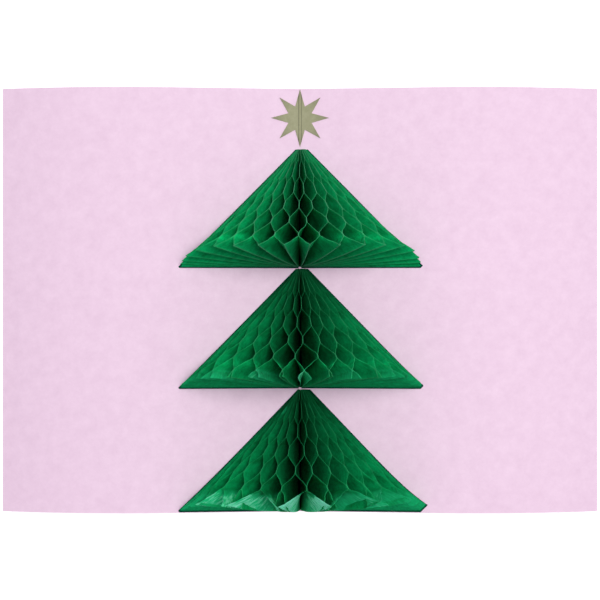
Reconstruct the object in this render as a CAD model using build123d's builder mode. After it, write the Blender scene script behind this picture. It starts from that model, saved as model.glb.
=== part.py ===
"""Pop-up card: a folded sheet with a three-tier honeycomb tissue tree and a star.

The open card lies on its back. X runs across it, Y runs up along the fold towards
the star, and Z points out of the card. The fold and both outer edges rest on Z = 0.
"""

import os
from math import cos, floor, pi, radians, sin, tan

from build123d import *

os.makedirs("parts", exist_ok=True)

# Card sheet, in millimetres and degrees
card_height = 148.0          # along the fold
half_span = 104.1            # from the fold to an outer edge, as the open card lies
card_thickness = 0.35
panel_rise = 6.5             # slope of each panel beside the fold
panel_margin = 3.8           # straight panel left beyond the glued leaves, before it bows down
fold_radius = 0.3            # rounded back of the fold

# Honeycomb tissue pads, three of the same cut
leaf_reach = 42.2            # from the fold to the lower corner of a leaf
gap_count = 33               # spaces between leaves, an odd number
leaf_thickness = 0.055
core_radius = 2.4            # glued backs of the leaves, along the fold
panel_opening = 0.55         # opening of the space beside a panel, against one in the middle
second_opening = 0.27        # the same for the space next to it, still almost shut
opening_ramp = 5             # spaces over which that grows to a whole one
glue_pitch = 6.6             # from one glue strip to the next
glue_width = 2.2
end_margin = 0.4             # least length of a glue strip at the base and the apex
rim_lift = 5.8               # how far the opened base is drawn up towards the apex
lift_ramp = 30.0             # angle beside each panel within which that grows
lift_bias = 1.9              # how strongly the draw gathers towards the base
base_margin = 0.6            # card below the bottom pad
tier_gap = 0.6               # card between one pad's apex and the next pad's base
top_first_strip = -6.2       # a glue strip of the even spaces, from each base
middle_first_strip = -9.1
bottom_first_strip = -4.2

# Star
star_points = 8
star_reach = 10.1            # from the centre to a point
star_waist = 4.4             # from the centre to an inner corner
star_thickness = 0.3
star_margin = 0.2            # card above the star's top point
star_gap = 0.8               # card between the star and the top pad
bead_width = 0.9             # raised crease down the middle of the star
bead_height = 0.25

# Values that follow from the sizes above
rise = radians(panel_rise)
fold_top = card_thickness / cos(rise)   # inside of the fold, the line the leaves open about
straight_reach = leaf_reach + panel_margin
star_height = star_margin + 2 * star_reach + star_gap
tier_height = (card_height - star_height - base_margin - 2 * tier_gap) / 3
bottom_base = base_margin - card_height / 2
middle_base = bottom_base + tier_height + tier_gap
top_base = middle_base + tier_height + tier_gap
star_centre = card_height / 2 - star_margin - star_reach


# Folded card: one bowed section, drawn for one panel, mirrored and run along the fold
with BuildPart() as card:
    with BuildSketch(Plane.XZ):
        with BuildLine() as section:
            knee = (straight_reach * cos(rise), straight_reach * sin(rise))
            back_line = Line((0, 0), knee)
            back_arc = TangentArc(knee, (half_span, 0), tangent=(cos(rise), sin(rise)))
            knee_top = (knee[0] - card_thickness * sin(rise), knee[1] + card_thickness * cos(rise))
            face_line = Line((0, fold_top), knee_top)
            out = back_arc.position_at(1) - back_arc.arc_center
            edge_top = back_arc.position_at(1) + out.normalized() * card_thickness
            face_arc = TangentArc(knee_top, edge_top, tangent=(cos(rise), sin(rise)))
            Line(back_arc.position_at(1), edge_top)
            Line((0, 0), (0, fold_top))
        make_face()
        mirror(about=Plane.YZ)
    extrude(amount=card_height / 2, both=True)
    fold_edge = card.edges().filter_by(Axis.Y).sort_by(Axis.Z).filter_by(
        lambda edge: abs(edge.center().X) < 0.01
    )[0]
    fillet(fold_edge, fold_radius)
card.part.label = "card"
export_step(card.part, "parts/card.step")


def opening(gap):
    """How far the pad opens from one space to the next: less beside the panels."""
    inward = min(gap, gap_count - 2 - gap)
    if inward == 0:
        return panel_opening
    return min(1.0, second_opening + (1 - second_opening) * (inward - 1) / opening_ramp)


def strip_angle(gap):
    """Angle about the fold at which the leaves either side of a space are glued."""
    whole = sum(opening(n) for n in range(gap_count - 1))
    return rise + (pi - 2 * rise) * sum(opening(n) for n in range(gap)) / whole


def lift(angle):
    """Draw of the opened rim towards the apex, from nothing at a panel to its full value."""
    beside = min(angle - rise, pi - rise - angle)
    return rim_lift * sin(pi / 2 * min(1.0, beside / radians(lift_ramp)))


def cut_reach(along):
    """Reach of a leaf at a height above its base: the slanting cut from rim to apex."""
    return leaf_reach - (leaf_reach - core_radius) * along / tier_height


def strip_point(leaf, face, strip, reach, along):
    """Point of one face of a leaf (0 lower, 1 upper) on a glue strip."""
    gap = leaf if (leaf + strip) % 2 == 0 else leaf - 1
    gap = min(max(gap, 0), gap_count - 1)
    if leaf == 0:
        proud = face
    elif leaf == gap_count:
        proud = face - 1
    else:
        seat = 1 if gap == 0 else -1 if gap == gap_count - 1 else 0
        proud = seat + face - (1 if gap == leaf else 0)
    angle = strip_angle(gap)
    side = proud * leaf_thickness
    drawn = lift(angle) if 0 < leaf < gap_count else 0.0
    slope = (reach - core_radius) / (leaf_reach - core_radius) * (1 - along / tier_height) ** lift_bias
    return Vector(
        reach * cos(angle) - side * sin(angle),
        along + drawn * slope,
        fold_top + reach * sin(angle) + side * cos(angle),
    )


def glue_levels(first_strip):
    """Heights at which a leaf bends: (height, strip, share of the wall to the next strip).

    A strip that ends close to the base or the apex is stretched to take it in.
    """
    wall_length = glue_pitch - glue_width
    edges = []
    for strip in range(floor(-first_strip / glue_pitch) - 2, floor(2 * tier_height / glue_pitch)):
        for side in (-1, 1):
            edge = first_strip + strip * glue_pitch + side * glue_width / 2
            if abs(edge) < wall_length / 5:
                edge = side * end_margin
            if abs(edge - tier_height) < wall_length / 2:
                edge = tier_height + side * end_margin
            edges.append((edge, strip))
    ends = []
    for end in (0.0, tier_height):
        before = [item for item in edges if item[0] <= end][-1]
        after = [item for item in edges if item[0] > end][0]
        wall = 0.0 if before[1] == after[1] else (end - before[0]) / (after[0] - before[0])
        ends.append((end, before[1], wall))
    inside = [(edge, strip, 0.0) for edge, strip in edges if 0 < edge < tier_height]
    return [ends[0]] + inside + [ends[1]]


def leaf_point(leaf, face, level, reach):
    """Point of a leaf face at one level: on a glue strip, or on the wall between two."""
    along, strip, wall = level
    low = strip_point(leaf, face, strip, reach, along)
    high = strip_point(leaf, face, strip + 1, reach, along)
    return low + (high - low) * wall


def patch(*corners):
    """Flat face through three or four corners, or two faces along the first diagonal."""
    ring = [c for n, c in enumerate(corners) if (c - corners[n - 1]).length > 1e-5]
    if len(ring) < 3:
        return []
    if len(ring) == 4:
        normal = (ring[1] - ring[0]).cross(ring[2] - ring[0]).normalized()
        if abs(normal.dot(ring[3] - ring[0])) > 1e-6:
            return patch(*ring[:3]) + patch(ring[0], ring[2], ring[3])
    return [Face(Wire.make_polygon(ring, close=True))]


def pad_faces(first_strip):
    """All flat faces of one opened pad, its base at Y = 0 and its apex at tier_height."""
    levels = glue_levels(first_strip)
    inner = {}
    outer = {}
    for leaf in range(gap_count + 1):
        for face in (0, 1):
            inner[leaf, face] = [leaf_point(leaf, face, level, core_radius) for level in levels]
            outer[leaf, face] = [leaf_point(leaf, face, level, cut_reach(level[0])) for level in levels]
    spine = [Vector(0, level[0], fold_top) for level in levels]
    faces = []
    for n in range(len(levels) - 1):
        for leaf in range(gap_count + 1):
            low = [inner[leaf, 0][n], outer[leaf, 0][n], outer[leaf, 0][n + 1], inner[leaf, 0][n + 1]]
            high = [inner[leaf, 1][n], outer[leaf, 1][n], outer[leaf, 1][n + 1], inner[leaf, 1][n + 1]]
            above = [inner[leaf + 1, 0][n], inner[leaf + 1, 0][n + 1]] if leaf < gap_count else []
            below = [inner[leaf - 1, 1][n], inner[leaf - 1, 1][n + 1]] if leaf > 0 else []
            open_above = not above or max((above[0] - high[0]).length, (above[1] - high[3]).length) > 1e-5
            open_below = not below or max((below[0] - low[0]).length, (below[1] - low[3]).length) > 1e-5
            if open_below:
                faces += patch(*low)
            if open_above:
                faces += patch(*high)
            faces += patch(low[1], high[1], high[2], low[2])
            if above and open_above:
                faces += patch(high[0], above[0], above[1], high[3])
        for leaf, face in ((0, 0), (gap_count, 1)):
            faces += patch(spine[n], inner[leaf, face][n], inner[leaf, face][n + 1], spine[n + 1])
    for leaf in range(gap_count + 1):
        faces += patch(inner[leaf, 0][0], outer[leaf, 0][0], outer[leaf, 1][0], inner[leaf, 1][0])
    for end in (0, -1):
        ring = [spine[end]] + [inner[leaf, face][end] for leaf in range(gap_count + 1) for face in (0, 1)]
        ring = [c for k, c in enumerate(ring) if (c - ring[k - 1]).length > 1e-5]
        faces.append(Face(Wire.make_polygon(ring, close=True)))
    return faces


# Top honeycomb pad
with BuildPart(Plane((0, top_base, 0))) as tier_top:
    add(Solid(Shell(pad_faces(top_first_strip))))
tier_top.part.label = "tier_top"
export_step(tier_top.part, "parts/tier_top.step")

# Middle honeycomb pad
with BuildPart(Plane((0, middle_base, 0))) as tier_middle:
    add(Solid(Shell(pad_faces(middle_first_strip))))
tier_middle.part.label = "tier_middle"
export_step(tier_middle.part, "parts/tier_middle.step")

# Bottom honeycomb pad
with BuildPart(Plane((0, bottom_base, 0))) as tier_bottom:
    add(Solid(Shell(pad_faces(bottom_first_strip))))
tier_bottom.part.label = "tier_bottom"
export_step(tier_bottom.part, "parts/tier_bottom.step")

# Star: a creased strip of card, cut to the star's outline
with BuildPart() as star:
    with BuildSketch(Plane.XZ.offset(-star_centre)):
        with BuildLine():
            tip = star_reach + 1
            Line((0, fold_top), (tip, fold_top + tip * tan(rise)))
            Line((tip, fold_top + tip * tan(rise)), (tip, fold_top + tip * tan(rise) + star_thickness))
            shoulder = (bead_width / 2, fold_top + bead_width / 2 * tan(rise) + star_thickness)
            Line((tip, fold_top + tip * tan(rise) + star_thickness), shoulder)
            crown = (0, fold_top + star_thickness + bead_height)
            TangentArc(crown, shoulder, tangent=(1, 0))
            Line(crown, (0, fold_top))
        make_face()
        mirror(about=Plane.YZ)
    extrude(amount=star_reach + 1, both=True)
    with BuildSketch(Plane.XY.offset(-1)):
        with BuildLine():
            turn = 180 / star_points
            corners = [
                Vector(0, star_reach if n % 2 == 0 else star_waist).rotate(Axis.Z, n * turn) + (0, star_centre)
                for n in range(2 * star_points)
            ]
            Polyline(*corners, close=True)
        make_face()
    extrude(amount=10, mode=Mode.INTERSECT)
star.part.label = "star"
export_step(star.part, "parts/star.step")

print("panel length along the sheet", round(straight_reach + back_arc.length, 2))
for piece in (card, tier_top, tier_middle, tier_bottom, star):
    size = piece.part.bounding_box().size
    print(piece.part.label, [round(value, 2) for value in size], "volume", round(piece.part.volume, 1))
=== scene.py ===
# %% [markdown]
# # A pop-up card with a honeycomb tissue tree
# The card is one folded sheet. Three pads of green tissue are glued across its fold, and each
# opens into half a honeycomb cone, so that together they read as a tree. A small creased star
# sits above them. The packed solids give the frame, and this lesson dresses them: the pads are
# grown again with softer, uneven walls, and every sheet gets a paper surface of its own.

# %% Frame
import math

import bpy
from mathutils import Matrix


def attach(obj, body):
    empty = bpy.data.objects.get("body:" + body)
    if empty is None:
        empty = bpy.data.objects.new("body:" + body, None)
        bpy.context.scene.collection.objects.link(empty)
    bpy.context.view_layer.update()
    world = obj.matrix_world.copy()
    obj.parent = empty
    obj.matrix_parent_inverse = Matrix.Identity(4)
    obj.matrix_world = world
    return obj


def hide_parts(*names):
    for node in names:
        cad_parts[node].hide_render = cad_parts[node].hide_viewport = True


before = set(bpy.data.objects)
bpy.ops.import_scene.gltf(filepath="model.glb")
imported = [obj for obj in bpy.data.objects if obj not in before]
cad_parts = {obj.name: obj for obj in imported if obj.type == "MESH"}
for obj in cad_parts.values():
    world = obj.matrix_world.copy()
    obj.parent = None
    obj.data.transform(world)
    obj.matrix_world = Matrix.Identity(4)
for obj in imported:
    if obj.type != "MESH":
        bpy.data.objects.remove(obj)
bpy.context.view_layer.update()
print("nodes:", sorted(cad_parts))

# %% [markdown]
# ## Sizes
# The same sizes shape the solids, here in metres. They could be measured on the loaded meshes,
# but naming them keeps the lesson readable, and a pad made here lands where its solid is.

# %% Sizes
MM = 0.001
CARD_HEIGHT = 148.0 * MM
CARD_THICKNESS = 0.35 * MM
PANEL_RISE = math.radians(6.5)
LEAF_REACH = 42.2 * MM
TIER_HEIGHT = 125.0 / 3 * MM
TIER_GAP = 0.6 * MM
BASE_MARGIN = 0.6 * MM
SPACES = 33
FOLD_TOP = CARD_THICKNESS / math.cos(PANEL_RISE)
BOTTOM_BASE = BASE_MARGIN - CARD_HEIGHT / 2
BASES = [BOTTOM_BASE + n * (TIER_HEIGHT + TIER_GAP) for n in range(3)]
STAR_MIDDLE = CARD_HEIGHT / 2 - 10.3 * MM
print("bases along the fold, mm:", [round(base / MM, 1) for base in BASES])

# %% [markdown]
# ## Sums as nodes
# A node tree is a formula drawn as boxes. The boxes could be placed one by one, but then the
# formula is hard to see. Wrapping a socket so that `+`, `*` and friends make the boxes keeps it
# readable, and the tree is still a real tree with named inputs.


# %% Sums as nodes
class Sum:
    """A socket that can be added, multiplied and compared, each step becoming one node."""

    def __init__(self, tree, socket):
        self.tree = tree
        self.socket = socket

    def op(self, name, *others):
        """Any operation of the Math node, by its name."""
        made = self.tree.nodes.new("ShaderNodeMath")
        made.operation = name
        for slot, value in zip(made.inputs, (self, *others)):
            if isinstance(value, Sum):
                self.tree.links.new(value.socket, slot)
            else:
                slot.default_value = value
        return Sum(self.tree, made.outputs[0])

    def __add__(self, other):
        return self.op("ADD", other)

    def __sub__(self, other):
        return self.op("SUBTRACT", other)

    def __mul__(self, other):
        return self.op("MULTIPLY", other)

    def __truediv__(self, other):
        return self.op("DIVIDE", other)

    def __rsub__(self, other):
        return self.op("MULTIPLY", -1.0) + other

    __radd__ = __add__
    __rmul__ = __mul__

    def clamp(self):
        """The value, held between 0 and 1."""
        out = self + 0.0
        out.socket.node.use_clamp = True
        return out

    def ramp_up(self, start, length):
        """0 up to the start, then growing to 1 over the length."""
        return ((self - start) / length).clamp()

    def mix(self, other, share):
        """This value at share 0, the other at share 1."""
        return self + (other - self) * share


print("besides sums, it can do:", [name for name in vars(Sum) if not name.startswith("_")])

# %% [markdown]
# Other kinds of node have settings and named inputs. One helper fills them, and it links an
# input when the value is a socket, so a node and its wiring stay together on the page.


# %% One node with its wiring
def node(tree, kind, inputs=None, **settings):
    """One node, with its settings, and its inputs linked or filled by name or number."""
    made = tree.nodes.new(kind)
    for name, value in settings.items():
        setattr(made, name, value)
    for name, value in (inputs or {}).items():
        if isinstance(value, Sum):
            value = value.socket
        if isinstance(value, bpy.types.NodeSocket):
            tree.links.new(value, made.inputs[name])
        else:
            made.inputs[name].default_value = value
    return made


print("helper:", node.__name__)

# %% [markdown]
# ## How a honeycomb pad works
# Leaves of tissue lie in a stack, and each is glued to the next along parallel strips. The
# strips of one space sit halfway between those of the next, so a leaf is held to its lower
# neighbour, then to its upper one, turn by turn. Spread the stack and every leaf becomes a
# zigzag, and the zigzags together make six-sided cells. Here the stack spreads about the fold,
# so the cells widen from the spine outwards, and the pull draws the open base up a little.
#
# The leaves could be modelled by hand, but there are 102 of them. As their shape follows a
# rule, one Geometry Nodes tree makes all three pads, and its inputs say how the pads differ.

# %% Inputs of the pad
COUNTS = ("Spaces", "Rows", "Columns", "Seed")
MEASURES = (
    "Reach", "Height", "Core", "Spine", "Border", "Thickness", "Base", "Fold",
    "Rise", "Panel Opening", "Second Opening", "Opening Ramp", "Lean",
    "Pitch", "Glue", "Glue Growth", "First Strip", "Uneven", "Flutter",
    "Lift", "Ramp", "Left Ramp", "Flare", "Slip", "Right Corner",
    "Loose Rim", "Spill", "Under Spill", "Flop", "Curl", "Crumple",
    "Dye", "Apex Shade", "Rim Shade", "Base Depth", "Pale Edge", "Sheen",
)
rule = bpy.data.node_groups.new("Honeycomb Pad", "GeometryNodeTree")
for kind, names in (("Int", COUNTS), ("Float", MEASURES), ("Material", ("Tissue",))):
    for name in names:
        rule.interface.new_socket(name, in_out="INPUT", socket_type="NodeSocket" + kind)
rule.interface.new_socket("Geometry", in_out="OUTPUT", socket_type="NodeSocketGeometry")
entry = rule.nodes.new("NodeGroupInput")
size = {socket.name: Sum(rule, socket) for socket in entry.outputs if socket.name}
print("inputs of the pad:", len(size))

# %% [markdown]
# One thin box is one leaf. It is copied once for each leaf, and the copies are numbered before
# they are joined, so that every point still knows which leaf it belongs to.


# %% One leaf, copied and numbered
def store(geometry, name, value, kind="FLOAT", domain="POINT"):
    """Writes a value on the geometry under a name, and hands the geometry on."""
    kept = node(rule, "GeometryNodeStoreNamedAttribute", {
        "Geometry": geometry, "Name": name, "Value": value}, data_type=kind, domain=domain)
    return kept.outputs[0]


def stored(name):
    """Reads such a value again."""
    kept = node(rule, "GeometryNodeInputNamedAttribute", {"Name": name}, data_type="FLOAT")
    return Sum(rule, kept.outputs["Attribute"])


leaf_box = node(rule, "GeometryNodeMeshCube", {
    "Size": (1, 1, 1), "Vertices X": size["Rows"], "Vertices Y": size["Columns"], "Vertices Z": 2})
line = node(rule, "GeometryNodeMeshLine", {"Count": size["Spaces"] + 1, "Offset": (0, 0, 0)})
copies = node(rule, "GeometryNodeInstanceOnPoints", {
    "Points": line.outputs["Mesh"], "Instance": leaf_box.outputs["Mesh"]})
index = rule.nodes.new("GeometryNodeInputIndex")
numbered = store(copies.outputs["Instances"], "leaf", index.outputs[0], domain="INSTANCE")
joined = node(rule, "GeometryNodeRealizeInstances", {"Geometry": numbered}).outputs[0]
leaf = stored("leaf")
print("nodes so far:", len(rule.nodes))

# %% [markdown]
# A point's place in the box tells where it is on its own leaf: `along` the spine from the base,
# a `share` of the way from the spine to the cut edge, and on which `face` of the sheet. `left`
# is the share of the leaf that is left above it. The first and last leaf are the backing sheets,
# glued to the card, and the leaves between them are cut a little smaller.

# %% Where a point is on its leaf
BLUNT_TIP = 0.1 * MM
CROWDED_AT_CUT = 1.7
unmoved = rule.nodes.new("GeometryNodeInputPosition").outputs[0]
in_box = [Sum(rule, out) for out in node(rule, "ShaderNodeSeparateXYZ", {0: unmoved}).outputs]
first = leaf.op("LESS_THAN", 0.5)
last = leaf.op("GREATER_THAN", size["Spaces"] - 0.5)
inner = (1.0 - first) * (1.0 - last)
odd = leaf.op("MODULO", 2.0)
trim = size["Border"] * inner
along = trim + (0.5 - in_box[0]) * (size["Height"] - BLUNT_TIP - trim)
share = 1.0 - (0.5 - in_box[1]).op("POWER", CROWDED_AT_CUT)
face = in_box[2] + 0.5
left = 1.0 - along / size["Height"]
print("nodes so far:", len(rule.nodes))

# %% [markdown]
# The spaces do not all open alike. The first beside a panel opens about halfway and the next
# only a quarter. From there each opens a little more, until in the middle all open the same.
# Adding the openings up gives the angle about the fold at which two leaves are glued.


# %% How far each space opens
def opened(steps):
    """Openings added up from a panel inwards: small ones first, growing to whole ones."""
    past = (steps - 1.0).op("MAXIMUM", 0.0)
    growing = past.op("MINIMUM", size["Opening Ramp"] + 1.0)
    grown = size["Second Opening"] * growing
    grown = grown + (1.0 - size["Second Opening"]) / size["Opening Ramp"] * growing * (growing - 1.0) * 0.5
    return size["Panel Opening"] * steps.op("MINIMUM", 1.0) + grown + past - growing


last_space = size["Spaces"] - 1.0
half_opened = opened(last_space * 0.5)
half_turn = math.pi * 0.5 - size["Rise"]
print("nodes so far:", len(rule.nodes))

# %% [markdown]
# A seeded stray makes the cells uneven, as no two strips are pulled alike. It leaves out the
# spaces beside the panels, which are too narrow for it. `Lean` tips the middle of the pad to
# one side, as the tiers of a handled card lean.


# %% The angle of each glued strip
def chance(number, low, high):
    """A seeded random value that belongs to a number."""
    pick = node(rule, "FunctionNodeRandomValue", {
        "Min": low, "Max": high, "ID": number, "Seed": size["Seed"]}, data_type="FLOAT")
    return Sum(rule, next(out for out in pick.outputs if out.enabled))


STEADY_SPACES = 2.0
STRAY_GROWTH = 0.3


def strip_angle(space):
    """Angle about the fold at which the leaves either side of a space are glued."""
    space = space.op("MAXIMUM", 0.0).op("MINIMUM", last_space)
    inward = space.op("MINIMUM", last_space - space)
    stray = chance(space, -1.0, 1.0) * size["Uneven"] * ((inward - STEADY_SPACES) * STRAY_GROWTH).clamp()
    turned = half_turn * (opened(inward) / half_opened)
    mirrored = space.op("GREATER_THAN", last_space * 0.5)
    angle = (size["Rise"] + turned).mix(math.pi - size["Rise"] - turned, mirrored)
    angle = angle + size["Lean"] * angle.op("SINE").op("POWER", 2.0)
    return angle + stray * half_turn / half_opened


low_angle = strip_angle(leaf - 1.0)
high_angle = strip_angle(leaf)
beside = low_angle.op("MINIMUM", math.pi - high_angle) - size["Rise"]
print("nodes so far:", len(rule.nodes))

# %% [markdown]
# ## The cut of a leaf
# Where the rim of a pad has come loose below its last strips, pairs of petals hang over the
# next pair or are tucked under it, turn by turn. This happens in the `middle` of the pad, away
# from the panels.

# %% Loose petals, over and under
SIDE_BAND = 0.3
SIDE_FADE = 0.35
TINY = 0.000001
middle = beside.ramp_up(SIDE_BAND, SIDE_FADE)
hem = (1.0 - along / (size["Loose Rim"] + TINY)).clamp()
over = leaf.op("MODULO", 4.0).op("LESS_THAN", 1.5)
under = (1.0 - over) * middle * hem * inner
pair = (leaf * 0.5).op("FLOOR")
print("nodes so far:", len(rule.nodes))

# %% [markdown]
# A leaf is cut as a right triangle. On the card the pads sit a little to the right of the fold
# (`Slip`), their slopes widen towards the base (`Flare`), and the right bottom corner is drawn
# out (`Right Corner`). All three belong to the leaves near the panels, so each is scaled by the
# cosine of the leaf's angle. Moving the cut edge keeps the spine and the cells in their places.

# %% The cut edge
CORNER_POWER = 7.0
SLIP_POWER = 4.0
sideways = low_angle.op("COSINE")
to_right = sideways.op("MAXIMUM", 0.0)
pulled = size["Right Corner"] * to_right.op("POWER", 2.0) * left.op("POWER", CORNER_POWER)
pulled = pulled + size["Flare"] * sideways * sideways * left
pulled = pulled + size["Slip"] * sideways * (1.0 - left.op("POWER", SLIP_POWER))
cut = size["Core"] + (size["Reach"] - size["Core"]) * left + pulled
cut = cut.op("MINIMUM", size["Reach"] + along) - trim - under * size["Flop"]
reach = size["Spine"].mix(cut, share)
spread = ((reach - size["Core"]) / (size["Reach"] - size["Core"])).op("MAXIMUM", 0.0)
print("nodes so far:", len(rule.nodes))

# %% [markdown]
# ## The zigzag
# A leaf is at 0 on one set of glue strips and at 1 on the other, with a slanting wall between.
# A ping-pong of the distance along the spine gives that. The strips wander a little, as glue
# printed on a moving sheet does, and the walls bend softly at both ends.


# %% The zigzag
def noise(x, y, z):
    """A soft wave between about -0.5 and 0.5 that differs from place to place."""
    at = node(rule, "ShaderNodeCombineXYZ", {0: x, 1: y, 2: z})
    made = node(rule, "ShaderNodeTexNoise", {"Vector": at.outputs[0], "Scale": 1.0, "Detail": 1.0})
    return Sum(rule, made.outputs[0]) - 0.5


SEED_STEP = 7.3
WANDER = 6.0 * MM
WIDEST_GLUE = 0.3
WALL_ROUNDING = 0.12
seed = size["Seed"] * SEED_STEP
wander = noise(leaf * 0.35, along * 90.0, seed) * size["Uneven"] * WANDER
strips = (along + wander - size["First Strip"]) / size["Pitch"]
glue_half = (size["Glue"] + size["Glue Growth"] * along) / size["Pitch"] * 0.5
glue_half = glue_half.op("MINIMUM", WIDEST_GLUE)
wall = ((strips.op("PINGPONG", 1.0) - glue_half) / (1.0 - glue_half * 2.0)).clamp()
wall = wall.mix(wall * wall * (3.0 - wall * 2.0), WALL_ROUNDING)
print("nodes so far:", len(rule.nodes))

# %% [markdown]
# Below its last strips a leaf is free. A share of 1 (`Spill`) swings it right across to the
# other neighbour, a small share leaves it hanging beside its own, and the free parts flutter.

# %% Which way each leaf turns
HEM_BEND = 0.6
spill = 1.0 + (size["Under Spill"].mix(size["Spill"], over) - 1.0) * middle
wall = wall.mix(hem.op("POWER", HEM_BEND) * spill, hem.op("GREATER_THAN", 0.0))
turn = (1.0 - odd + (odd * 2.0 - 1.0) * wall) * inner + last
free = (wall * (1.0 - wall) * 4.0).clamp().op("MAXIMUM", hem) * inner
flap = noise(leaf * 3.7, along * 300.0, reach * 200.0 + seed) * size["Flutter"] * free * spread
angle = low_angle.mix(high_angle, turn) + flap
print("nodes so far:", len(rule.nodes))

# %% [markdown]
# Opening a pad shortens it along the fold, so its rim is drawn towards the apex (`Lift`). The
# panels hold the rim beside them, so the pull grows from them to the upright middle, over an
# angle that can differ left and right.


# %% How far the rim is drawn up
def lift(angle):
    """How far the open rim is drawn towards the apex at that angle."""
    from_panel = (angle - size["Rise"]).op("MINIMUM", math.pi - size["Rise"] - angle)
    ramp = size["Ramp"].mix(size["Left Ramp"], angle.op("GREATER_THAN", math.pi / 2))
    return size["Lift"] * ((from_panel / ramp).op("MINIMUM", 1.0) * (math.pi / 2)).op("SINE")


drawn = lift(low_angle).mix(lift(high_angle), turn)
print("nodes so far:", len(rule.nodes))

# %% [markdown]
# ## The rim that was handled
# Free corners curl towards the apex or droop from it (`Curl`), loose petals fall over each other
# (`Flop`), and their paper is crumpled. Each pair of petals curls and flops by its own seeded
# amount. A cloth simulation could do this, but a rule with a seed is quicker and easier to set.
# The backing sheets stay flat, so nothing cuts into the card.

# %% Curl, crumple and flop
RIM_START = 0.55
BEND_START = 0.4
BEND_POWER = 1.6
SHORTEST_RIM = 5.0 * MM
CREASES = 330.0
FLOP_DRAW = 20.0
rim = spread.ramp_up(RIM_START, 0.45)
rim_length = size["Loose Rim"].op("MAXIMUM", SHORTEST_RIM)
corner = (1.0 - along / rim_length).clamp()
curl = size["Curl"] * rim * rim * corner * chance(pair, 0.0, 1.8) * inner * (drawn / size["Lift"])
crumple = noise(reach * CREASES, along * CREASES, leaf * 2.3 + seed)
crumple = crumple * size["Crumple"] * hem * spread * middle
bend = spread.ramp_up(BEND_START, 0.6).op("POWER", BEND_POWER)
flop = size["Flop"] * (0.25 + 0.75 * over) * middle * hem.op("POWER", HEM_BEND) * bend
flop = flop * chance(pair + FLOP_DRAW, 0.7, 1.2) * (odd * 2.0 - 1.0) * inner
print("nodes so far:", len(rule.nodes))

# %% [markdown]
# ## Every point to its place
# Reach and angle are polar coordinates about the inside line of the fold, so a sine and a
# cosine turn them into a place. The sheet's thickness goes sideways. Glued leaves share a line,
# so each lies on its own side of it, and the leaves next to the backing sheets sit on them.

# %% Every point to its place
THIN_TIP = 0.35
GATHER_OUT = 1.4
GATHER_DOWN = 1.5
CLEAR_OF_CARD = 0.01 * MM
second = leaf.op("COMPARE", 1.0, 0.1)
before_last = leaf.op("COMPARE", size["Spaces"] - 1.0, 0.1)
seat = second * (1.0 - turn) - before_last * turn
sheet_thickness = size["Thickness"] * (THIN_TIP + (1.0 - THIN_TIP) * left)
side = sheet_thickness * (face - turn.clamp() + seat) + crumple + flop
gather = spread.op("POWER", GATHER_OUT) * left.op("POWER", GATHER_DOWN)
x = reach * angle.op("COSINE") - side * angle.op("SINE")
y = size["Base"] + along + drawn * inner * gather + curl
z = size["Fold"] + reach * angle.op("SINE") + side * angle.op("COSINE") + CLEAR_OF_CARD
position = node(rule, "ShaderNodeCombineXYZ", {0: x, 1: y, 2: z}).outputs[0]
print("nodes so far:", len(rule.nodes))

# %% [markdown]
# ## What the surface needs to know
# Colour is worked out later, in the material, but only the rule knows where a point was on the
# flat sheet. So it works out notes for the mesh. The first is a painted sheen: pale patches of
# painted highlight at the free rim, where light grazes the loose petals, most on the petals that
# lie on top and in the middle of the pad.

# %% Painted sheen on the rim
SHEEN_DEPTH = 35.0 * MM
CENTRAL_BAND = 0.25
LEFT_FROM = 1.35
SIDE_SHEEN = 0.27
patch = noise(reach * 200.0, along * 260.0, leaf * 5.1 + seed)
outer = (1.0 - (cut - reach) / SHEEN_DEPTH).clamp()
central = (1.0 - (low_angle - math.pi / 2).op("ABSOLUTE") / CENTRAL_BAND).clamp()
leftward = low_angle.op("GREATER_THAN", LEFT_FROM)
level = over * middle * (0.5 + 0.4 * leftward + 0.9 * central) + SIDE_SHEEN * (1.0 - middle)
# Painted sheen: a pale highlight painted on the loose rim, where light grazes the petals.
worn = size["Sheen"] * ((corner - 0.1 + patch * 0.6) * 4.0).clamp() * outer * level * inner
print("nodes so far:", len(rule.nodes))

# %% [markdown]
# The next notes are the dye with painted shade and light in it, and the strength of a painted
# highlight on the cut edges. Where the leaves crowd together at the apex, less light gets in, and
# that shade is painted (`Apex Shade`). Just above the rim, painted light brightens the colour when
# `Rim Shade` is below 0, and painted shade darkens it above 0. The highlight is strongest where two
# leaves are glued. The last notes are distances in from the cut edges. `Base Depth` lets the open
# base take more painted shade inwards.

# %% Dye with painted shade, painted edge highlight, and depth
INSET_SLOPE = 0.7
CROWDED_FROM = 0.4
above = (1.0 - (along / rim_length - 1.2).op("ABSOLUTE") * 1.6).clamp()
crowded = (1.0 - left).ramp_up(CROWDED_FROM, 0.5) * (1.0 - 0.45 * beside)
apex_shade = 1.0 - size["Apex Shade"] * crowded
# Painted apex shade and painted rim light and shade are multiplied into the dye note here.
dye = size["Dye"] * (1.0 - size["Rim Shade"] * above * middle) * apex_shade
glued = (1.0 - wall * (1.0 - wall) * 4.0).clamp()
upright = beside.ramp_up(0.2, 0.8)
# Painted highlight on the cut edges, dimmed by the painted apex shade.
pale = size["Pale Edge"] * (0.25 + 0.75 * upright) * (0.5 + 0.5 * glued) * apex_shade
from_slope = (cut - reach) * INSET_SLOPE
inset = from_slope.op("MINIMUM", along - trim)
# The depth note sets painted shade in the material; Base Depth makes it reach further in at the base.
depth = from_slope.op("MINIMUM", along - trim + (cut - reach) * size["Base Depth"])
print("nodes so far:", len(rule.nodes))

# %% [markdown]
# The thin sides of the box are the cut edges, which are found before the points move. They stay
# sharp, and the faces are shaded smooth. The tree ends by joining everything and setting the
# tissue on it, because the export takes plain meshes.

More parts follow.
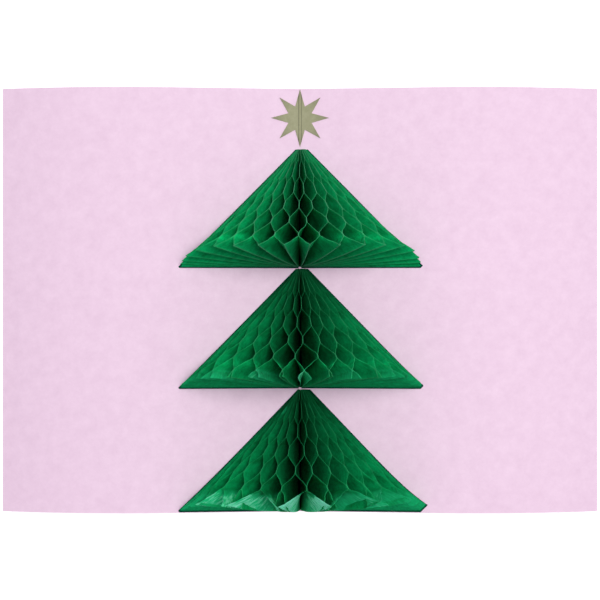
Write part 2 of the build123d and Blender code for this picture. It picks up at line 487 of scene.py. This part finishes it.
# %% Notes on the mesh, and the end of the rule
SHEET_STEP = 0.031
normal = rule.nodes.new("GeometryNodeInputNormal").outputs[0]
through = Sum(rule, node(rule, "ShaderNodeSeparateXYZ", {0: normal}).outputs[2])
thin = through.op("ABSOLUTE").op("LESS_THAN", 0.5)
sheet = node(rule, "ShaderNodeCombineXYZ", {0: reach, 1: along, 2: leaf * SHEET_STEP})
noted = store(joined, "sheet", sheet.outputs[0], kind="FLOAT_VECTOR")
noted = store(noted, "cut_edge", thin, domain="FACE")
for name, value in (("inset", inset), ("end_leaf", 1.0 - inner), ("worn", worn),
                    ("pale", pale), ("dye", dye), ("depth", depth)):
    noted = store(noted, name, value)
smooth = node(rule, "GeometryNodeSetShadeSmooth", {
    0: noted, "Shade Smooth": stored("cut_edge").op("LESS_THAN", 0.5)})
moved = node(rule, "GeometryNodeSetPosition", {0: smooth.outputs[0], "Position": position})
whole = node(rule, "GeometryNodeRealizeInstances", {"Geometry": moved.outputs[0]})
dressed = node(rule, "GeometryNodeSetMaterial", {0: whole.outputs[0], "Material": size["Tissue"]})
rule.links.new(dressed.outputs[0], rule.nodes.new("NodeGroupOutput").inputs[0])
print("honeycomb rule:", len(rule.nodes), "nodes")

# %% [markdown]
# ## Paper surfaces
# Card and tissue are both felted fibre, so one effect serves both: slow clouds, where the pulp
# lies thicker or thinner, and a fine grain that catches the light. A scanned texture could give
# them, but a group of nodes has no seams and suits any size. It gives a tone and a normal, and
# each material uses them in its own way.


# %% Shared paper effect
def paper_effect():
    """Clouds and grain, as one group that every paper uses."""
    tree = bpy.data.node_groups.new("Paper Fibre", "ShaderNodeTree")
    for name in ("Cloud Scale", "Grain Scale", "Relief"):
        tree.interface.new_socket(name, in_out="INPUT", socket_type="NodeSocketFloat")
    tree.interface.new_socket("Place", in_out="INPUT", socket_type="NodeSocketVector")
    tree.interface.new_socket("Tone", in_out="OUTPUT", socket_type="NodeSocketFloat")
    tree.interface.new_socket("Normal", in_out="OUTPUT", socket_type="NodeSocketVector")
    inputs = tree.nodes.new("NodeGroupInput").outputs
    cloud = node(tree, "ShaderNodeTexNoise", {
        "Vector": inputs["Place"], "Scale": inputs["Cloud Scale"], "Detail": 3.0, "Roughness": 0.6})
    grain = node(tree, "ShaderNodeTexNoise", {
        "Vector": inputs["Place"], "Scale": inputs["Grain Scale"], "Detail": 4.0, "Roughness": 0.7})
    tone = Sum(tree, cloud.outputs[0]) * 0.65 + Sum(tree, grain.outputs[0]) * 0.35
    bump = node(tree, "ShaderNodeBump", {
        "Strength": inputs["Relief"], "Distance": 0.2 * MM, "Height": grain.outputs[0]})
    leave = tree.nodes.new("NodeGroupOutput")
    tree.links.new(tone.socket, leave.inputs["Tone"])
    tree.links.new(bump.outputs[0], leave.inputs["Normal"])
    return tree


paper = paper_effect()
print("shared effect:", paper.name, "with", len(paper.nodes), "nodes")

# %% [markdown]
# Each paper is a colour between a dark and a light tone, on its own coordinates. The card and
# the star read their place in the object. The tissue reads its place on the flat sheet, so
# that its fibres bend with the leaf.


# %% How a paper is made
def paper_material(name, dark, light, place, cloud, grain, relief, **constants):
    """Principled paper: a colour between two tones, with the shared grain."""
    material = bpy.data.materials.new(name)
    material.use_nodes = True
    tree = material.node_tree
    shader = tree.nodes["Principled BSDF"]
    for key, value in constants.items():
        shader.inputs[key.replace("_", " ")].default_value = value
    if place == "sheet":
        where = node(tree, "ShaderNodeAttribute", attribute_name="sheet").outputs["Vector"]
    else:
        where = tree.nodes.new("ShaderNodeTexCoord").outputs["Object"]
    effect = node(tree, "ShaderNodeGroup", node_tree=paper)
    tree.links.new(where, effect.inputs["Place"])
    for key, value in (("Cloud Scale", cloud), ("Grain Scale", grain), ("Relief", relief)):
        effect.inputs[key].default_value = value
    tones = node(tree, "ShaderNodeValToRGB", {0: effect.outputs["Tone"]})
    for element, at, colour in zip(tones.color_ramp.elements, (0.3, 0.7), (dark, light)):
        element.position = at
        element.color = (*colour, 1)
    tree.links.new(tones.outputs[0], shader.inputs["Base Color"])
    tree.links.new(effect.outputs["Normal"], shader.inputs["Normal"])
    return material, tones


print("helper:", paper_material.__name__)

# %% [markdown]
# The card is smooth pale lilac-pink stock, and the star is thin card in a muted gold. The tissue
# is a deep green, dull and rough. Its grain is stronger than the card's, as its fibres lie loose.

# %% Three papers
card_paper, _ = paper_material(
    "card_stock", (0.795, 0.585, 0.74), (0.875, 0.665, 0.82), "object", 260.0, 900.0, 0.15,
    Roughness=0.75, Specular_IOR_Level=0.25)
star_paper, star_tones = paper_material(
    "star_card", (0.275, 0.272, 0.155), (0.368, 0.365, 0.228), "object", 700.0, 5000.0, 0.2,
    Roughness=0.6, Specular_IOR_Level=0.3)
tissue, tissue_tones = paper_material(
    "tissue", (0.001, 0.22, 0.062), (0.002, 0.465, 0.147), "sheet", 260.0, 1500.0, 0.8,
    Roughness=0.95, Specular_IOR_Level=0.05)
print("papers:", card_paper.name, star_paper.name, tissue.name)

# %% [markdown]
# Several finishes mix two colours, or make a colour darker. These two helpers do that.


# %% Mixing colours
def blend(tree, share, one, other, how="MIX"):
    """One colour at share 0, the other at share 1."""
    made = node(tree, "ShaderNodeMix", {0: share, 6: one, 7: other}, data_type="RGBA", blend_type=how)
    return made.outputs[2]


def times(tree, colour, value):
    """A colour made darker or lighter by a value."""
    grey = node(tree, "ShaderNodeCombineColor", {0: value, 1: value, 2: value})
    return blend(tree, 1.0, colour, grey.outputs[0], "MULTIPLY")


print("helpers:", blend.__name__, times.__name__)

# %% [markdown]
# The star is creased along its middle. The scored line gets a painted highlight on its ridge,
# between two painted shadows in its grooves, and the star is made darker away from its middle.
# The line could be cut into the mesh, but it is more a mark than a shape. Masks worked out from
# the distance to the line and to the middle stay sharp at any size.

# %% Star: painted shade and highlight on the crease
GROOVE_AT = 0.45 * MM
GROOVE_WIDTH = 0.3 * MM
RIDGE_WIDTH = 0.25 * MM
DARKER_FROM = 5.0 * MM
DARKER_LENGTH = 5.0 * MM
star_tree = star_paper.node_tree
star_place = star_tree.nodes.new("ShaderNodeTexCoord").outputs["Object"]
star_place = node(star_tree, "ShaderNodeSeparateXYZ", {0: star_place})
from_line = Sum(star_tree, star_place.outputs[0]).op("ABSOLUTE")
upward = Sum(star_tree, star_place.outputs[1]) - STAR_MIDDLE
# Painted shadows in the grooves beside the crease, and a painted highlight on its ridge.
groove = (1.0 - (from_line - GROOVE_AT).op("ABSOLUTE") / GROOVE_WIDTH).clamp()
ridge = (1.0 - from_line / RIDGE_WIDTH).clamp()
away_from_middle = (from_line * from_line + upward * upward).op("SQRT").ramp_up(DARKER_FROM, DARKER_LENGTH)
shade = 1.0 - groove * 0.42 + ridge * 0.15 - away_from_middle * 0.3
shaded_gold = times(star_tree, star_tones.outputs[0], shade)
star_tree.links.new(shaded_gold, star_tree.nodes["Principled BSDF"].inputs["Base Color"])
print("star middle along the fold, mm:", round(STAR_MIDDLE / MM, 2))

# %% [markdown]
# ## Tissue
# Every leaf took the dye a little differently, and fine streaks run along its cut. Both go into
# the tone before it is turned into a colour.

# %% Tissue: leaves of different dye, and fine streaks
CUT_SLOPE = 0.955
LEAF_VARIETY = 0.16
tissue_tree = tissue.node_tree
flat_place = node(tissue_tree, "ShaderNodeAttribute", attribute_name="sheet").outputs["Vector"]
flat_place = node(tissue_tree, "ShaderNodeSeparateXYZ", {0: flat_place})
out, up, own_leaf = [Sum(tissue_tree, socket) for socket in flat_place.outputs]
from_cut = LEAF_REACH - up * CUT_SLOPE - out
streak_place = node(tissue_tree, "ShaderNodeCombineXYZ", {
    0: from_cut * 1300.0, 1: up * 500.0, 2: own_leaf * 90.0})
streaks = node(tissue_tree, "ShaderNodeTexNoise", {
    "Vector": streak_place.outputs[0], "Scale": 1.0, "Detail": 3.0})
streak = Sum(tissue_tree, streaks.outputs[0])
batch = node(tissue_tree, "ShaderNodeTexWhiteNoise", {"W": own_leaf * 97.0}, noise_dimensions="1D")
variety = (Sum(tissue_tree, batch.outputs[0]) - 0.5) * LEAF_VARIETY
fibre = next(link.from_socket for link in tissue_tree.links if link.to_node == tissue_tones)
dyed = Sum(tissue_tree, fibre) + variety + (streak - 0.5) * 0.5
tissue_tree.links.new(dyed.socket, tissue_tones.inputs[0])
print("tissue nodes:", len(tissue_tree.nodes))

# %% [markdown]
# Deep in a cell the tissue looks darker, as light is lost on every wall that it meets. The note
# of the depth paints that shade into the colour, which is steadier than leaving it all to bounced
# light, and near the cut edges it paints the colour lighter. The cut edges get a painted highlight
# that draws the cells.


# %% Tissue: painted shade in the depths, painted highlight on cut edges
def note(name):
    """A value that the pad's rule left on the mesh."""
    attribute = node(tissue_tree, "ShaderNodeAttribute", attribute_name=name)
    return Sum(tissue_tree, attribute.outputs["Fac"])


LIT_AT_CUT = 1.3
SHADED_DEEP = 0.58
DEEP_AT = 7.0 * MM
HIGHLIGHT_WIDTH = 0.5 * MM
HIGHLIGHT_GREEN = (0.12, 0.5, 0.27, 1.0)
# Painted light near the cut edges and painted shade deep in the cells, times the dye note.
dye_light_and_shade = (LIT_AT_CUT + (note("depth") / DEEP_AT).clamp() * (SHADED_DEEP - LIT_AT_CUT)) * note("dye")
shaded_green = times(tissue_tree, tissue_tones.outputs[0], dye_light_and_shade)
# Painted highlight along the cut edges.
near_cut = (1.0 - note("inset") / HIGHLIGHT_WIDTH).clamp() * 0.6
edge_highlight = near_cut.op("MAXIMUM", note("cut_edge")) * note("pale")
highlighted = blend(tissue_tree, edge_highlight, shaded_green, HIGHLIGHT_GREEN)
print("tissue nodes:", len(tissue_tree.nodes))

# %% [markdown]
# Where light grazes the loose rim, a painted sheen turns the tissue a pale green, palest along
# its creases. The two backing sheets show as a darker line round each pad.

# %% Tissue: painted sheen on the rim, and dark backing
SHEEN_GREEN = (0.025, 0.74, 0.32, 1.0)
SHEEN_PALEST = (0.3, 0.97, 0.72, 1.0)
BACKING_WIDTH = 0.5 * MM
BACKING = (0.004, 0.08, 0.055, 1.0)
# Painted sheen: a pale highlight on the loose rim, strongest along the creases.
sheen_note = note("worn")
creased = ((streak - 0.36) * 3.2).clamp()
palest_share = ((sheen_note * (creased * 0.8 + 0.4) - 0.55) * 1.2).clamp()
sheen_colour = blend(tissue_tree, palest_share, SHEEN_GREEN, SHEEN_PALEST)
with_sheen = blend(tissue_tree, (sheen_note * (creased * 0.6 + 0.7)).clamp(), highlighted, sheen_colour)
border = note("end_leaf") * note("inset").op("LESS_THAN", BACKING_WIDTH)
tissue_shader = tissue_tree.nodes["Principled BSDF"]
tissue_tree.links.new(blend(tissue_tree, border, with_sheen, BACKING), tissue_shader.inputs["Base Color"])
print("tissue nodes:", len(tissue_tree.nodes))

# %% [markdown]
# Tissue is thin enough to glow: part of the light that falls on one face leaves by the other.
# A Translucent shader mixed in does that without tracing light through a solid, and where the
# sheen is painted, the light through is paler too.

# %% Tissue: light through the sheet
GLOW_SHARE = 0.38
SHEEN_GLOW = 0.7
# Where the sheen is painted, the glow is paler.
glow_colour = blend(tissue_tree, (sheen_note * SHEEN_GLOW).clamp(), tissue_tones.outputs[0], sheen_colour)
glow = node(tissue_tree, "ShaderNodeBsdfTranslucent", {"Color": glow_colour})
both = node(tissue_tree, "ShaderNodeMixShader", {
    0: GLOW_SHARE, 1: tissue_shader.outputs[0], 2: glow.outputs[0]})
tissue_tree.links.new(both.outputs[0], tissue_tree.nodes["Material Output"].inputs["Surface"])
print("tissue nodes:", len(tissue_tree.nodes), "and a share of", GLOW_SHARE, "that glows")

# %% [markdown]
# ## The three pads
# The pads are cut from one sheet of honeycomb, so they share most of their sizes. The rim is
# whole and lies as glued unless a pad says otherwise.

# %% Sizes that the pads share
COMMON = {
    "Spaces": SPACES, "Rows": 101, "Columns": 14, "Tissue": tissue,
    "Reach": LEAF_REACH, "Height": TIER_HEIGHT, "Core": 2.1 * MM, "Spine": 0.5 * MM,
    "Border": 0.45 * MM, "Thickness": 0.14 * MM, "Fold": FOLD_TOP, "Rise": PANEL_RISE,
    "Panel Opening": 0.55, "Second Opening": 0.27, "Opening Ramp": 5.0,
    "Pitch": 6.6 * MM, "Glue": 0.9 * MM, "Glue Growth": 0.1, "Uneven": 0.2, "Flutter": 0.06,
    "Ramp": math.radians(45), "Left Ramp": math.radians(45), "Flare": 0.9 * MM, "Base Depth": 0.0,
    "Loose Rim": 0.0, "Spill": 1.0, "Under Spill": 1.0, "Flop": 0.0, "Crumple": 0.0,
}
print("leaves in a pad:", SPACES + 1, "with", COMMON["Rows"], "by", COMMON["Columns"], "points a face")

# %% [markdown]
# What differs is the place in the glue pattern (`First Strip`), how a pad leans and slips, how it
# has been handled, and how much painted light and shade it carries. The bottom pad's rim is loose
# and crumpled, with a strong painted sheen. The middle pad's petals hang from their last strips.
# The top pad is crisp, with a strong painted highlight on its cut edges.

# %% Sizes of each pad
# The sheen, edge, rim, apex and base-depth values set how much light and shade is painted on each pad.
PADS = {
    "tier_bottom": {
        "Base": BASES[0] - 0.4 * MM, "Height": TIER_HEIGHT + 0.9 * MM, "First Strip": -4.2 * MM,
        "Lift": 4.6 * MM, "Lean": -0.05, "Slip": 1.4 * MM, "Flare": 1.15 * MM, "Right Corner": 5.5 * MM,
        "Loose Rim": 8.1 * MM, "Spill": 1.3, "Under Spill": 0.45, "Flop": 5.2 * MM, "Curl": 1.0 * MM,
        "Crumple": 2.0 * MM, "Sheen": 1.45, "Pale Edge": 0.3, "Dye": 0.86,
        "Rim Shade": -0.15, "Apex Shade": 0.92, "Seed": 3},
    "tier_middle": {
        "Base": BASES[1] + 0.2 * MM, "Height": TIER_HEIGHT + 0.3 * MM, "First Strip": -10.1 * MM,
        "Lift": 5.9 * MM, "Lean": -0.055, "Slip": 0.65 * MM, "Right Corner": 1.6 * MM,
        "Loose Rim": 3.0 * MM, "Spill": 0.42, "Under Spill": 0.12, "Flop": 0.6 * MM, "Curl": -0.7 * MM,
        "Crumple": 0.6 * MM, "Sheen": 0.75, "Pale Edge": 0.42, "Dye": 0.88,
        "Rim Shade": -0.75, "Apex Shade": 0.92, "Seed": 8},
    "tier_top": {
        "Base": BASES[2], "First Strip": -6.2 * MM, "Ramp": math.radians(30), "Left Ramp": math.radians(42),
        "Lift": 6.4 * MM, "Lean": 0.025, "Slip": 0.6 * MM, "Right Corner": 0.8 * MM, "Curl": 0.4 * MM,
        "Sheen": 0.1, "Pale Edge": 0.9, "Dye": 1.04,
        "Rim Shade": -0.8, "Apex Shade": 0.2, "Base Depth": 0.15, "Seed": 5},
}
print("pads:", list(PADS))

# %% [markdown]
# The rule runs on an empty object. Its inputs are set by their sockets' identifiers before it is
# evaluated, and what comes out is kept as a plain mesh. The object that carried the rule goes.
# Each new pad rides on the card's one body, and its solid is hidden.

# %% Growing the pads
SOCKETS = {item.name: item.identifier for item in rule.interface.items_tree if item.in_out == "INPUT"}


def grow(name, sizes):
    """Runs the rule on an empty mesh and keeps the result as a plain mesh."""
    seedling = bpy.data.objects.new(name + "_rule", bpy.data.meshes.new(name + "_rule"))
    bpy.context.scene.collection.objects.link(seedling)
    modifier = seedling.modifiers.new("Honeycomb", "NODES")
    modifier.node_group = rule
    for key, value in sizes.items():
        modifier[SOCKETS[key]] = value
    ready = seedling.evaluated_get(bpy.context.evaluated_depsgraph_get())
    mesh = bpy.data.meshes.new_from_object(ready)
    mesh.materials.clear()
    mesh.materials.append(sizes["Tissue"])
    bpy.data.objects.remove(seedling)
    piece = bpy.data.objects.new(name + "_tissue", mesh)
    bpy.context.scene.collection.objects.link(piece)
    return piece


for name, own in PADS.items():
    pad = grow(name, {**COMMON, **own})
    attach(pad, "root")
    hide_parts(name)
    triangles = sum(len(polygon.vertices) - 2 for polygon in pad.data.polygons)
    print(name, "triangles", triangles, "materials", [m.name for m in pad.data.materials])

# %% [markdown]
# ## Card and star
# Their solids already have the right shape, so they stay, and only get their paper.

# %% Card and star
for name, material in (("card", card_paper), ("star", star_paper)):
    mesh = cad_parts[name].data
    mesh.materials.clear()
    mesh.materials.append(material)
    print(name, "keeps its solid's mesh of", len(mesh.polygons), "faces, in", material.name)

# %% [markdown]
# ## Floor, light and camera
# The card lies on a plain white floor. A white floor in soft light still renders a little grey,
# so it also glows, but only as the camera sees it, straight or by a reflection or through glass.
# The glow lights nothing, and the card's shadow stays.

# %% Floor
FLOOR_HALF = 3.0
FLOOR_GLOW = 0.5
corners = [(a * FLOOR_HALF, b * FLOOR_HALF, 0) for a, b in ((-1, -1), (1, -1), (1, 1), (-1, 1))]
mesh = bpy.data.meshes.new("floor")
mesh.from_pydata(corners, [], [(0, 1, 2, 3)])
floor = bpy.data.objects.new("floor", mesh)
bpy.context.scene.collection.objects.link(floor)
ground = bpy.data.materials.new("floor")
ground.use_nodes = True
floor_tree = ground.node_tree
floor_shader = floor_tree.nodes["Principled BSDF"]
for name in ("Base Color", "Emission Color"):
    floor_shader.inputs[name].default_value = (1.0, 1.0, 1.0, 1)
floor_shader.inputs["Roughness"].default_value = 0.9
floor_shader.inputs["Specular IOR Level"].default_value = 0.0
rays = floor_tree.nodes.new("ShaderNodeLightPath").outputs
seen = Sum(floor_tree, rays["Is Camera Ray"])
for name in ("Is Glossy Ray", "Is Transmission Ray"):
    seen = seen.op("MAXIMUM", Sum(floor_tree, rays[name]))
floor_tree.links.new((seen * FLOOR_GLOW).socket, floor_shader.inputs["Emission Strength"])
mesh.materials.append(ground)
print("floor width, m:", 2 * FLOOR_HALF)

# %% [markdown]
# One wide soft light hangs overhead, a little towards the top right, so that each pad throws a
# faint shadow below its base. A pale room fills the rest. It has a breath of lilac, the colour
# that the card throws back into its own shadows.


# %% Light
def softbox(name, at, width, power, colour):
    """A round soft light that faces the card."""
    data = bpy.data.lights.new(name, "AREA")
    data.shape = "DISK"
    data.size = width
    data.energy = power
    data.color = colour
    lamp = bpy.data.objects.new(name, data)
    lamp.location = at
    aim = -lamp.location.normalized()
    lamp.rotation_euler = aim.to_track_quat("-Z", "Y").to_euler()
    bpy.context.scene.collection.objects.link(lamp)


ROOM_COLOUR = (1.02, 0.92, 1.09, 1)
ROOM_STRENGTH = 0.31
softbox("overhead", (0.16, 0.15, 1.2), 0.65, 12.0, (1.0, 1.02, 0.97))
world = bpy.data.worlds.new("room")
world.use_nodes = True
room = world.node_tree.nodes["Background"].inputs
room["Color"].default_value = ROOM_COLOUR
room["Strength"].default_value = ROOM_STRENGTH
bpy.context.scene.world = world
bpy.context.scene.view_settings.view_transform = "Standard"
print("lights:", [lamp.name for lamp in bpy.data.lights], "and a room of strength", ROOM_STRENGTH)

# %% [markdown]
# The camera looks straight down, as on a copy stand. Its lens could be found by trying, but it
# follows from three sizes: the sensor, the height, and a picture a little wider than the card.

# %% Camera
CAMERA_HEIGHT = 0.6
PICTURE_WIDTH = 210.4 * MM
SENSOR_WIDTH = 36.0
camera = bpy.data.objects.new("camera", bpy.data.cameras.new("camera"))
camera.location = (0.0, 0.0, CAMERA_HEIGHT)
camera.data.sensor_width = SENSOR_WIDTH
camera.data.lens = SENSOR_WIDTH * CAMERA_HEIGHT / PICTURE_WIDTH
camera.data.clip_start = 0.01
bpy.context.scene.collection.objects.link(camera)
bpy.context.scene.camera = camera
print("camera height, mm:", camera.location.z / MM, "lens, mm:", round(camera.data.lens, 1))

# %% [markdown]
# ## Check and finish
# The dressed card must keep the size of its solids.
